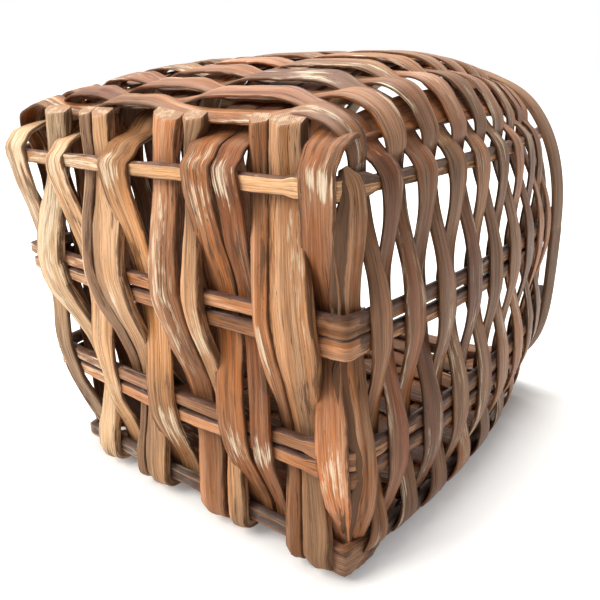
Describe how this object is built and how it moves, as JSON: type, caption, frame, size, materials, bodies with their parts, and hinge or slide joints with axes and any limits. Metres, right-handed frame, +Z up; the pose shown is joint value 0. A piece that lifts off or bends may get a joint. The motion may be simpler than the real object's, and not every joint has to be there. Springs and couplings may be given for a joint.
{
  "type": "lidded splint basket",
  "caption": "Square-bottomed open splint basket of wide flat splints, half-round base staves, round rods and narrow woven bands, lying on one side wall.",
  "frame": {"origin": "centre of the basket's outline at floor level, under the lowest woven bands", "axes": "+Z up from the side wall it lies on; -Y is the way the flat base panel faces, +Y the way the open mouth faces; +X is the viewer's right when looking at the base panel"},
  "size_m": [0.4568, 0.4618, 0.3968],
  "materials": {
    "bark_rod": "weathered round rod with grey-mauve bark and orange split faces",
    "dark_rod": "charcoal-grey aged rim rod",
    "honey_splint": "orange-honey riven splint with long grain and pale worn patches",
    "split_stave": "pale riven half-round stave with sawn grey end",
    "brown_band": "thin reddish-brown woven band with a faint satin sheen",
    "hoop_wood": "plain bent hoop"
  },
  "bodies": {
    "root": {"base_stave_1": "split_stave", "base_stave_2": "split_stave", "base_stave_3": "split_stave", "base_stave_4": "split_stave", "base_stave_5": "split_stave", "base_stave_6": "split_stave", "base_stave_7": "split_stave", "long_splint_1": "honey_splint", "long_splint_2": "honey_splint", "long_splint_3": "honey_splint", "long_splint_4": "honey_splint", "long_splint_5": "honey_splint", "long_splint_6": "honey_splint", "mouth_hoop_inner": "hoop_wood", "mouth_hoop_outer": "hoop_wood", "ring_band_01": "brown_band", "ring_band_02": "brown_band", "ring_band_03": "brown_band", "ring_band_04": "brown_band", "ring_band_05": "brown_band", "ring_band_06": "brown_band", "ring_band_07": "brown_band", "ring_band_08": "brown_band", "ring_band_09": "brown_band", "ring_band_10": "brown_band", "ring_band_11": "brown_band", "ring_band_12": "brown_band", "ring_band_13": "brown_band", "ring_band_14": "brown_band", "ring_band_15": "brown_band", "ring_band_16": "brown_band", "ring_band_17": "brown_band", "ring_band_18": "brown_band", "rod_lower_lower": "bark_rod", "rod_lower_upper": "bark_rod", "rod_middle_lower": "bark_rod", "rod_middle_upper": "bark_rod", "rod_rim": "dark_rod", "rod_top": "bark_rod"}
  },
  "joints": []
}
